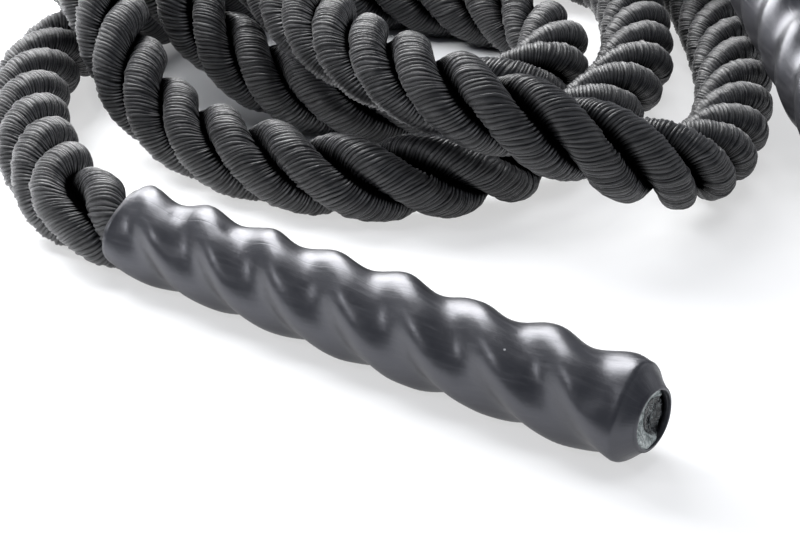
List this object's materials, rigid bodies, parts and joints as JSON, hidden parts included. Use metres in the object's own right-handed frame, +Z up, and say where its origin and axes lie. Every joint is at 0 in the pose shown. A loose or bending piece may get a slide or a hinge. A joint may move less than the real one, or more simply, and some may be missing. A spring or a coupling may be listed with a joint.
{
  "type": "heavy jump rope",
  "caption": "Thick three-strand rope lying in loose loops, with a long ribbed sleeve shrunk over each end as its handle.",
  "frame": {"origin": "on the floor, under the middle of the box round the two handles", "axes": "+X along the front handle, from its mouth to its free end; +Y from the front handle towards the loops and the rear handle; +Z up"},
  "size_m": [0.4807, 0.4075, 0.0739],
  "materials": {
    "sleeve": "black shrunk sleeve, soft sheen",
    "rope_yarn": "black twisted yarn",
    "glue": "cloudy grey-green hot glue"
  },
  "bodies": {
    "rope": {"front_lead": "rope_yarn", "rope_loops": "rope_yarn", "rear_lead": "rope_yarn"},
    "front_rope_neck": {"front_neck": "rope_yarn"},
    "front_handle": {"front_sleeve": "sleeve", "front_strand_1": "rope_yarn", "front_strand_2": "rope_yarn", "front_strand_3": "rope_yarn", "front_end_seal": "glue"},
    "rear_rope_neck": {"rear_neck": "rope_yarn"},
    "rear_handle": {"rear_sleeve": "sleeve", "rear_strand_1": "rope_yarn", "rear_strand_2": "rope_yarn", "rear_strand_3": "rope_yarn", "rear_end_seal": "glue"}
  },
  "joints": [
    {"name": "front_swing", "type": "hinge", "parent": "rope", "child": "front_rope_neck", "pos_m": [-0.15081, -0.13365, 0.01538], "axis": [0, 0, 1], "range_deg": [-40, 20], "deforming": ["front_neck"]},
    {"name": "front_lift", "type": "hinge", "parent": "front_rope_neck", "child": "front_handle", "pos_m": [-0.13136, -0.14244, 0.01529], "axis": [0, -1, 0], "range_deg": [0, 35], "deforming": ["front_neck"]},
    {"name": "rear_swing", "type": "hinge", "parent": "rope", "child": "rear_rope_neck", "pos_m": [-0.07513, 0.17797, 0.05685], "axis": [0, 0, 1], "range_deg": [0, 30], "deforming": ["rear_neck"]},
    {"name": "rear_lift", "type": "hinge", "parent": "rear_rope_neck", "child": "rear_handle", "pos_m": [-0.05782, 0.16534, 0.05454], "axis": [-0.7133, -0.7009, 0], "range_deg": [0, 35], "deforming": ["rear_neck"]}
  ]
}
